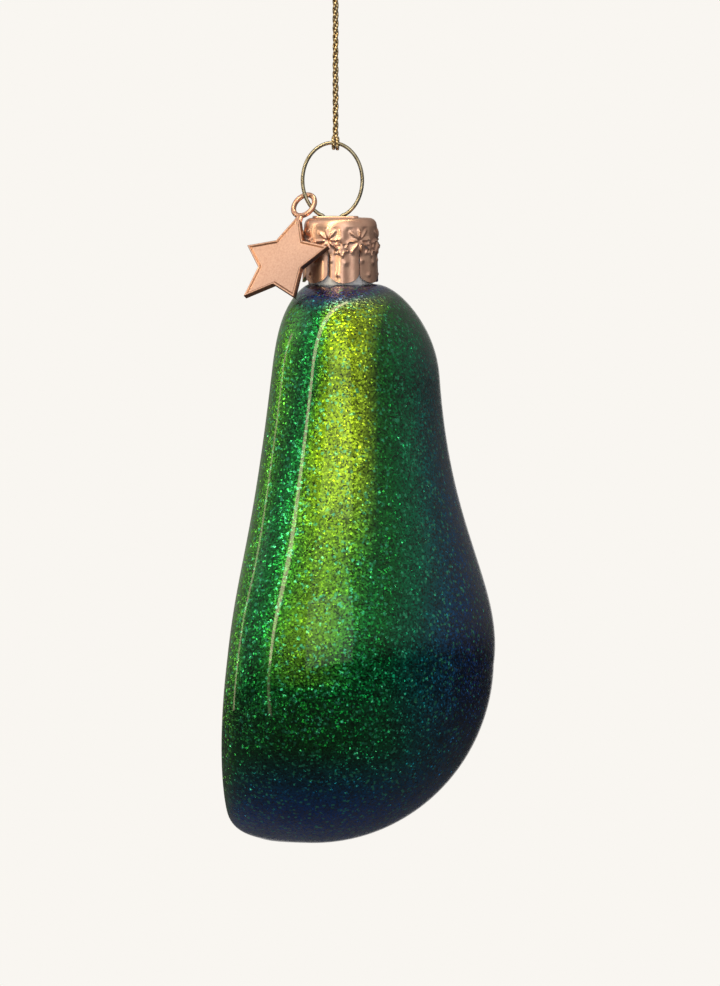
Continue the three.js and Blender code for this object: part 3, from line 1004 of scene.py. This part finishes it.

# %% [markdown]
# The lacquer. Green glitter lies in a clear lacquer over silvered glass, so the base is a metal whose
# flakes each lean their own way, under a clear coat that stays smooth. A cell pattern gives each flake
# its lean and its shade, larger cells give the few teal glints on the skin, and a soft noise makes the
# glitter lie thicker and thinner. Light is painted into the skin's colour as well: a painted
# yellow-green highlight of the flank lamps on its flanks, green beside it, darker green as painted
# shade under the belly, and blue to violet over the back, the bottom and the shoulders, partly the
# glitter's own colour and partly a painted sheen. This painted light follows the way the skin faces,
# and it changes from the nape to the belly.

# %% Glitter sizes
flake_size = 0.26 * mm
large_flake_size = 0.42 * mm
clump_size = 3.2 * mm
nape_level = -85 * mm
belly_level = -128 * mm
nape_swing = -0.085
belly_swing = 0.02
upper_flank_ends = -92 * mm
lower_flank_starts = -116 * mm
print("The flakes are", round(flake_size / mm, 2), "mm across")


# %% The skin's paint and its painted light
def skin_paint_with_painted_light(tree, place):
    """The skin's colour by the way it faces, from front to back and up or down, and by its level, with
    painted light in it: a painted highlight on the flanks, painted shade under the belly and a partly
    painted blue sheen.
    """
    facing = add_node(tree, "ShaderNodeSeparateXYZ", {0: place.outputs["Normal"]})
    upward = facing.outputs["Z"]
    level = add_node(tree, "ShaderNodeSeparateXYZ", {0: place.outputs["Object"]}).outputs["Z"]
    round_fruit = add_node(tree, "ShaderNodeMapRange", {0: facing.outputs["Y"], 1: -1.0, 2: 1.0})
    swing = add_node(tree, "ShaderNodeMapRange", {
        0: level, 1: belly_level, 2: nape_level, 3: belly_swing, 4: nape_swing,
    })
    from_front = add_node(tree, "ShaderNodeMath", {0: round_fruit, 1: swing}, operation="ADD")
    # Green paint with a painted yellow-green highlight of the flank lamps, and blue behind, partly a
    # painted sheen
    upper_flank_painted_light = add_node(tree, "ShaderNodeValToRGB", {"Fac": from_front}, stops=[
        (0.0, "#6AB838"), (0.12, "#5AB02C"), (0.3, "#1C8040"), (0.4, "#167836"), (0.44, "#5CA422"),
        (0.51, "#A8D41E"), (0.62, "#CCF028"), (0.69, "#C4EC38"), (0.755, "#2E8A30"), (0.81, "#0C8440"),
        (0.87, "#0A8C60"), (0.92, "#08707C"), (0.96, "#145494"), (1.0, "#30448C"),
    ])
    # Lower on the flank: the same with a dimmer painted highlight
    lower_flank_painted_light = add_node(tree, "ShaderNodeValToRGB", {"Fac": from_front}, stops=[
        (0.0, "#6AB838"), (0.12, "#5AB02C"), (0.3, "#1C8040"), (0.42, "#187C34"), (0.5, "#3C922C"),
        (0.58, "#6EA824"), (0.64, "#6EB028"), (0.69, "#46A030"), (0.74, "#1C8A3C"), (0.79, "#127C36"),
        (0.86, "#0A8460"), (0.91, "#0A6474"), (0.95, "#0A548C"), (1.0, "#1C3878"),
    ])
    # Under the belly: darker green as painted shade, and blue behind, partly a painted sheen
    underside_painted_shade = add_node(tree, "ShaderNodeValToRGB", {"Fac": from_front}, stops=[
        (0.0, "#5AA030"), (0.3, "#1A7038"), (0.6, "#106A26"), (0.72, "#0A7434"), (0.81, "#0A7A44"),
        (0.9, "#0A6A74"), (1.0, "#22468C"),
    ])
    # Each layer of painted light goes over the ones before it: a dimmer painted highlight lower on the
    # flank, blue on the shoulders and at the foot that is partly a painted sheen, and painted shade
    # under the belly. It starts at the first value and covers at the second.
    painted_light_layers = [
        (level, upper_flank_ends, lower_flank_starts, lower_flank_painted_light),
        # Shoulders: blue, partly the glitter's own colour and partly a painted sheen
        (upward, 0.66, 0.9, colour("#203A94")),
        (upward, 0.09, -0.09, underside_painted_shade),
        # Foot: blue, partly the glitter's own colour and partly a painted sheen
        (upward, -0.36, -0.86, colour("#0E50A8")),
    ]
    shade = upper_flank_painted_light
    for measure, start, covered, paint in painted_light_layers:
        cover = add_node(tree, "ShaderNodeMapRange", {0: measure, 1: start, 2: covered},
                         interpolation_type="SMOOTHSTEP")
        shade = add_node(tree, "ShaderNodeMix", {0: cover, 6: shade, 7: paint},
                         data_type="RGBA").outputs[2]
    return shade


# %% The glitter in the lacquer
def leaning_normal(tree, cell_colour, lean):
    """The surface's normal, leaned a random way in each cell."""
    centred = add_node(tree, "ShaderNodeVectorMath", {0: cell_colour, 1: (0.5, 0.5, 0.5)},
                       operation="SUBTRACT")
    scaled = add_node(tree, "ShaderNodeVectorMath", {0: centred, "Scale": lean}, operation="SCALE")
    surface = add_node(tree, "ShaderNodeNewGeometry")
    summed = add_node(tree, "ShaderNodeVectorMath", {0: surface.outputs["Normal"], 1: scaled})
    return add_node(tree, "ShaderNodeVectorMath", {0: summed}, operation="NORMALIZE")


def glitter_shade(tree, place, chance, painted, on_skin):
    """The paint, darker in some flakes and clumps, with teal glints where it is skin."""
    depth = add_node(tree, "ShaderNodeValToRGB", {"Fac": chance}, stops=[
        (0.0, (0.16, 0.18, 0.18, 1)), (0.35, (0.5, 0.54, 0.52, 1)), (1.0, 1.0),
    ])
    clumps = add_node(tree, "ShaderNodeTexNoise",
                      {"Vector": place.outputs["Object"], "Scale": 1 / clump_size})
    thickness = add_node(tree, "ShaderNodeValToRGB", {"Fac": clumps}, stops=[(0.35, 0.7), (0.6, 1.0)])
    shade = painted
    for darker in (depth, thickness):
        shade = add_node(tree, "ShaderNodeMix", {0: 1.0, 6: shade, 7: darker},
                         data_type="RGBA", blend_type="MULTIPLY").outputs[2]
    large = add_node(tree, "ShaderNodeTexVoronoi",
                     {"Vector": place.outputs["Object"], "Scale": 1 / large_flake_size})
    large_chance = add_node(tree, "ShaderNodeSeparateColor", {0: large.outputs["Color"]})
    spark = add_node(tree, "ShaderNodeMapRange", {0: large_chance, 1: 0.86, 2: 0.97, 4: 0.5},
                     interpolation_type="SMOOTHSTEP")
    glint = add_node(tree, "ShaderNodeMath", {0: spark, 1: on_skin}, operation="MULTIPLY")
    return add_node(tree, "ShaderNodeMix", {0: glint, 6: shade, 7: colour("#48CC94")},
                    data_type="RGBA").outputs[2]


# %% Glitter lacquer on the skin, the flesh and the stone
def glitter_lacquer():
    """Small metal flakes in every direction, under a smooth clear coat."""
    material, tree, shader = new_material(
        "glitter_lacquer", Metallic=1.0, Coat_Weight=0.5, Coat_Roughness=0.05, Coat_IOR=1.5,
    )
    place = add_node(tree, "ShaderNodeTexCoord")
    cells = add_node(tree, "ShaderNodeTexVoronoi",
                     {"Vector": place.outputs["Object"], "Scale": 1 / flake_size})
    chance = add_node(tree, "ShaderNodeSeparateColor", {0: cells.outputs["Color"]})
    zones_layer = add_node(tree, "ShaderNodeVertexColor", layer_name="zones")
    zone = add_node(tree, "ShaderNodeSeparateColor", {0: zones_layer.outputs["Color"]})
    flesh = zone.outputs[0]
    stone = zone.outputs[1]
    painted = skin_paint_with_painted_light(tree, place)
    for share, paint in ((flesh, "#D3D67C"), (stone, "#6E3A1C")):
        painted = add_node(tree, "ShaderNodeMix", {0: share, 6: painted, 7: colour(paint)},
                           data_type="RGBA").outputs[2]
    off_skin = add_node(tree, "ShaderNodeMath", {0: flesh, 1: stone}, operation="MAXIMUM")
    on_skin = add_node(tree, "ShaderNodeMath", {0: 1.0, 1: off_skin}, operation="SUBTRACT")
    seldom_large = add_node(tree, "ShaderNodeMath", {0: chance.outputs[2], 1: 3.0}, operation="POWER")
    lean = add_node(tree, "ShaderNodeMath", {0: seldom_large, 1: 1.2, 2: 0.2},
                    operation="MULTIPLY_ADD")
    feed(tree, shader, {
        "Base Color": glitter_shade(tree, place, chance.outputs[0], painted, on_skin),
        "Roughness": add_node(tree, "ShaderNodeMapRange", {0: chance.outputs[1], 3: 0.34, 4: 0.2}),
        "Normal": leaning_normal(tree, cells.outputs["Color"], lean),
    })
    return material


# %% Silvered inside and bare neck
def drifting_finish(name, grain, shades, roughness, detail=2.0, stretch=None, **sockets):
    """A finish whose colour and roughness drift together, in soft patches as large as the grain."""
    material, tree, shader = new_material(name, **sockets)
    place = add_node(tree, "ShaderNodeTexCoord").outputs["Object"]
    if stretch:
        place = add_node(tree, "ShaderNodeMapping", {"Vector": place, **stretch})
    drift = add_node(tree, "ShaderNodeTexNoise", {"Vector": place, "Scale": 1 / grain, "Detail": detail})
    feed(tree, shader, {
        "Base Color": add_node(tree, "ShaderNodeValToRGB", {"Fac": drift}, stops=shades),
        "Roughness": add_node(tree, "ShaderNodeMapRange",
                              {0: drift, 3: roughness[0], 4: roughness[1]}),
    })
    return material, tree, shader, drift


# The inside of the wall: a silver film seen through glass, with a faint haze
silvered_glass = drifting_finish(
    "silvered_glass", 4 * mm, [(0.3, "#B9BCBE"), (0.7, "#D8DADB")], (0.12, 0.3),
    Metallic=1.0, Coat_Weight=1.0,
)[0]

# The unpainted neck: pale and milky in soft patches, a painted reflection of its silvered inside
bare_glass = drifting_finish(
    "bare_glass", 1.5 * mm, [(0.3, "#DCE0E4"), (0.7, "#F2F4F6")], (0.15, 0.4), detail=4.0, IOR=1.52,
)[0]

dress(glass, glitter_lacquer(), silvered_glass, bare_glass)
print("Glass wears:", [material.name for material in glass.data.materials])

# %% [markdown]
# The metals. The cap is stamped brass plated rose gold: soft gloss with fine haze. The tag has the
# same plating: brushed on its face, darkened along its edges and side walls as painted shade, and as
# cast on its eye. The wire has an older gold plating. Each is a metal shader whose colour and
# roughness drift a little, as plating does.

# %% Plated metals
def plated_metal(name, light, dark, roughness, grain, bump):
    """Plating over stamped, drawn or cast metal: fine grains in a gloss that drifts a little."""
    material, tree, shader, drift = drifting_finish(
        name, 1.2 * mm, [(0.3, dark), (0.65, light)], (roughness * 1.25, roughness * 0.75),
        detail=3.0, Metallic=1.0,
    )
    place = add_node(tree, "ShaderNodeTexCoord")
    fine = add_node(tree, "ShaderNodeTexNoise", {"Vector": place.outputs["Object"], "Scale": 1 / grain})
    relief = add_node(tree, "ShaderNodeBump", {"Height": fine, "Strength": 1.0, "Distance": bump})
    feed(tree, shader, {"Normal": relief})
    return material


def brushed_rose_gold(name, dark, light):
    """Fine scratches run along the star's face: a noise stretched in one direction."""
    material, tree, shader, lines = drifting_finish(
        name, 2.2 * mm, [(0.3, dark), (0.7, light)], (0.3, 0.45), detail=4.0,
        stretch={"Rotation": (0, 0, -tag_azimuth), "Scale": (1, 8, 8)}, Metallic=1.0,
    )
    relief = add_node(tree, "ShaderNodeBump", {"Height": lines, "Distance": 0.01 * mm})
    feed(tree, shader, {"Normal": relief})
    return material


rose_gold = plated_metal("rose_gold_plated_brass", "#F4C6AA", "#E0B098", 0.34, 0.35 * mm, 0.012 * mm)
antique_gold = plated_metal("antique_gold_wire", "#BEB498", "#94886A", 0.24, 0.5 * mm, 0.001 * mm)
cast_gold = plated_metal("cast_rose_gold", "#F4C6AA", "#C8967C", 0.32, 0.35 * mm, 0.004 * mm)
star_face = brushed_rose_gold("brushed_rose_gold", "#E4B298", "#F4CAB0")
# The star's edges and side walls: darker rose gold as painted shade
star_edge_painted_shade = brushed_rose_gold("rose_gold_painted_shade", "#8A6452", "#AA7E66")
dress(cap, rose_gold)
dress(wire, antique_gold)
dress(tag, star_face, star_edge_painted_shade, cast_gold)
print("Star wears:", [material.name for material in tag.data.materials])

# %% [markdown]
# The yarn. Metallised film is slit into flat threads and spun round a core, so each yarn is a bright
# gold with fine slanting threads and dark gaps. The threads are too fine to show one by one, so a
# wave at about twice their real width stands in for them.

# %% Metallised yarn
thread_width = 0.25 * mm


def metallised_yarn():
    """Bright slanting threads with dark gaps between them."""
    material, tree, shader = new_material(
        "metallised_yarn", Metallic=1.0, Sheen_Weight=0.2, Roughness=0.38,
    )
    place = add_node(tree, "ShaderNodeTexCoord")
    slant = add_node(tree, "ShaderNodeMapping",
                     {"Vector": place.outputs["Object"], "Rotation": (0.5, 0.5, 0)})
    threads = add_node(tree, "ShaderNodeTexWave",
                       {"Vector": slant, "Scale": 0.16 / thread_width, "Distortion": 2.0},
                       bands_direction="Z").outputs["Fac"]
    feed(tree, shader, {
        "Base Color": add_node(tree, "ShaderNodeValToRGB", {"Fac": threads}, stops=[
            (0.15, "#86683E"), (0.5, "#B0925C"), (0.9, "#EBDCB4"),
        ]),
        "Normal": add_node(tree, "ShaderNodeBump", {"Height": threads, "Distance": 0.02 * mm}),
    })
    return material


yarn = metallised_yarn()
for piece in (hanging_cord, loop, knot, hitch):
    dress(piece, yarn)
    print(piece.name, "wears", yarn.name)

# %% [markdown]
# Each piece is handed to the body that carries it, and takes the place of the model's solid.

# %% Hand the pieces over
hand_over(hanging_cord, "cord", "hanging_cord")
hand_over(knot, "cord", "cord_knot")
hand_over(loop, "cord", "cord_loop")
hand_over(hitch, "hitch", "cord_hitch")
hand_over(wire, "hanger", "wire_hanger")
hand_over(cap, "hanger", "metal_cap")
hand_over(tag, "tag", "star_tag")
hand_over(glass, "glass", "glass_body")

# %% [markdown]
# The studio. The clear coat shows each lamp as a shape, so the lamps are placed by what the
# photograph shows in the gloss: a long strip a little left of the camera makes the thin pale line, a
# short one below carries it under the belly, and one far to the left makes the fainter line at the
# rim. Four boxes, one inside the other, light the flank's glow without a hard edge. One box stands
# high for the shoulder, and one on the left for the star's face. The ornament hangs well above a pale
# floor, which reflections leave out, so that the belly keeps its deep green.

# %% Lamps
fruit_middle = Vector((0, 0, -115 * mm))


def add_lamp(name, aside, elevation, distance, width, height, power, tint="#FFFFFF"):
    """An area lamp that looks at the fruit, some degrees to the right of the camera and above level."""
    data = bpy.data.lights.new(name, "AREA")
    data.shape = "RECTANGLE"
    data.size = width
    data.size_y = height
    data.energy = power
    data.color = colour(tint)[:3]
    lamp = bpy.data.objects.new(name, data)
    flat = view_azimuth + math.radians(aside)
    up = math.radians(elevation)
    direction = Vector((math.sin(flat) * math.cos(up), -math.cos(flat) * math.cos(up), math.sin(up)))
    lamp.location = fruit_middle + direction * distance
    lamp.rotation_euler = direction.to_track_quat("Z", "Y").to_euler()
    bpy.context.collection.objects.link(lamp)


line_aside = -32.8
glow_aside = 8
warm = "#FFECC6"
# After its name, each lamp has its degrees aside and up, its distance, width and height, and its watts
add_lamp("line_strip", line_aside, 54, 1.2, 0.12, 3.6, 20, warm)
add_lamp("low_strip", line_aside, -13, 0.9, 0.06, 0.5, 0.24, warm)
add_lamp("rim_strip", -95, 10, 1.0, 0.08, 0.9, 1.5, warm)
for share in (1.0, 0.8, 0.6, 0.4):
    add_lamp("flank_box", glow_aside, 12, 1.3, 0.7 * share, 0.85 * share, 2.3 * share ** 2)
add_lamp("high_box", glow_aside, 47, 1.3, 0.6, 0.9, 1.1)
add_lamp("star_box", -94, 45, 1.3, 0.8, 0.8, 1.0)
print("Lamps:", len(bpy.data.lights))

# %% Floor
floor_radius = 2.0
floor_level = -1.1
bpy.ops.mesh.primitive_circle_add(
    vertices=96, radius=floor_radius, fill_type="NGON", location=(0, 0, floor_level),
)
floor = settle(bpy.context.object, "floor")
dress(floor, new_material("pale_paper", Roughness=0.9, Base_Color=colour("#F4F0EA"))[0])
floor.visible_glossy = False
print("Floor:", floor_radius * 2, "m across")

# %% [markdown]
# The world stands for the backdrop and the room. Rays from the camera, and rays that pass through
# glass, see the pale backdrop alone, at a strength of 1. Reflections see it too where they look
# straight away from the camera. All other rays meet the room: light above the fruit, dark below its
# belly, and dimmer behind it and on the right.

# %% The room round the object
world = bpy.data.worlds.new("studio")
bpy.context.scene.world = world
world.use_nodes = True
studio = world.node_tree
studio.nodes.clear()
direction = add_node(studio, "ShaderNodeTexCoord").outputs["Generated"]
ray = add_node(studio, "ShaderNodeSeparateXYZ", {0: direction})
ray_level = add_node(studio, "ShaderNodeMapRange", {0: ray.outputs["Z"], 1: -1.0, 2: 1.0})
walls = add_node(studio, "ShaderNodeValToRGB", {"Fac": ray_level}, stops=[
    (0.0, (0.11, 0.11, 0.12, 1)), (0.3, (0.13, 0.13, 0.14, 1)), (0.44, (0.05, 0.05, 0.055, 1)),
    (0.54, (0.36, 0.35, 0.34, 1)), (1.0, (0.39, 0.375, 0.36, 1)),
])
brighter_side = add_node(studio, "ShaderNodeVectorMath", {
    0: direction, 1: to_camera - 0.6 * screen_right,
}, operation="DOT_PRODUCT")
side_level = add_node(studio, "ShaderNodeMapRange",
                      {0: brighter_side.outputs["Value"], 1: -1.2, 2: 1.2})
side_share = add_node(studio, "ShaderNodeValToRGB", {"Fac": side_level}, stops=[
    (0.0, 0.35), (0.25, 1.2), (1.0, 1.15),
])
lit_walls = add_node(studio, "ShaderNodeMix", {0: 1.0, 6: walls, 7: side_share},
                     data_type="RGBA", blend_type="MULTIPLY").outputs[2]
room = add_node(studio, "ShaderNodeBackground", {"Color": lit_walls, "Strength": 1.0})
print("Room:", len(studio.nodes), "nodes")

# %% The backdrop behind it
backdrop = add_node(studio, "ShaderNodeBackground", {"Color": colour("#F9F6F1"), "Strength": 1.0})
behind = add_node(studio, "ShaderNodeVectorMath", {0: direction, 1: -to_camera},
                  operation="DOT_PRODUCT")
right_behind = add_node(studio, "ShaderNodeMapRange", {0: behind.outputs["Value"], 1: 0.96, 2: 1.0},
                        interpolation_type="SMOOTHSTEP")
rays = add_node(studio, "ShaderNodeLightPath")
reflected = add_node(studio, "ShaderNodeMath", {0: rays.outputs["Is Glossy Ray"], 1: right_behind},
                     operation="MULTIPLY")
shown = add_node(studio, "ShaderNodeMath",
                 {0: rays.outputs["Is Camera Ray"], 1: rays.outputs["Is Transmission Ray"]},
                 operation="MAXIMUM")
share = add_node(studio, "ShaderNodeMath", {0: shown, 1: reflected}, operation="MAXIMUM")
mixed = add_node(studio, "ShaderNodeMixShader", {0: share, 1: room, 2: backdrop})
add_node(studio, "ShaderNodeOutputWorld", {0: mixed})
bpy.context.scene.view_settings.view_transform = "Standard"
print("Backdrop colour:", [round(part, 3) for part in colour("#F9F6F1")])
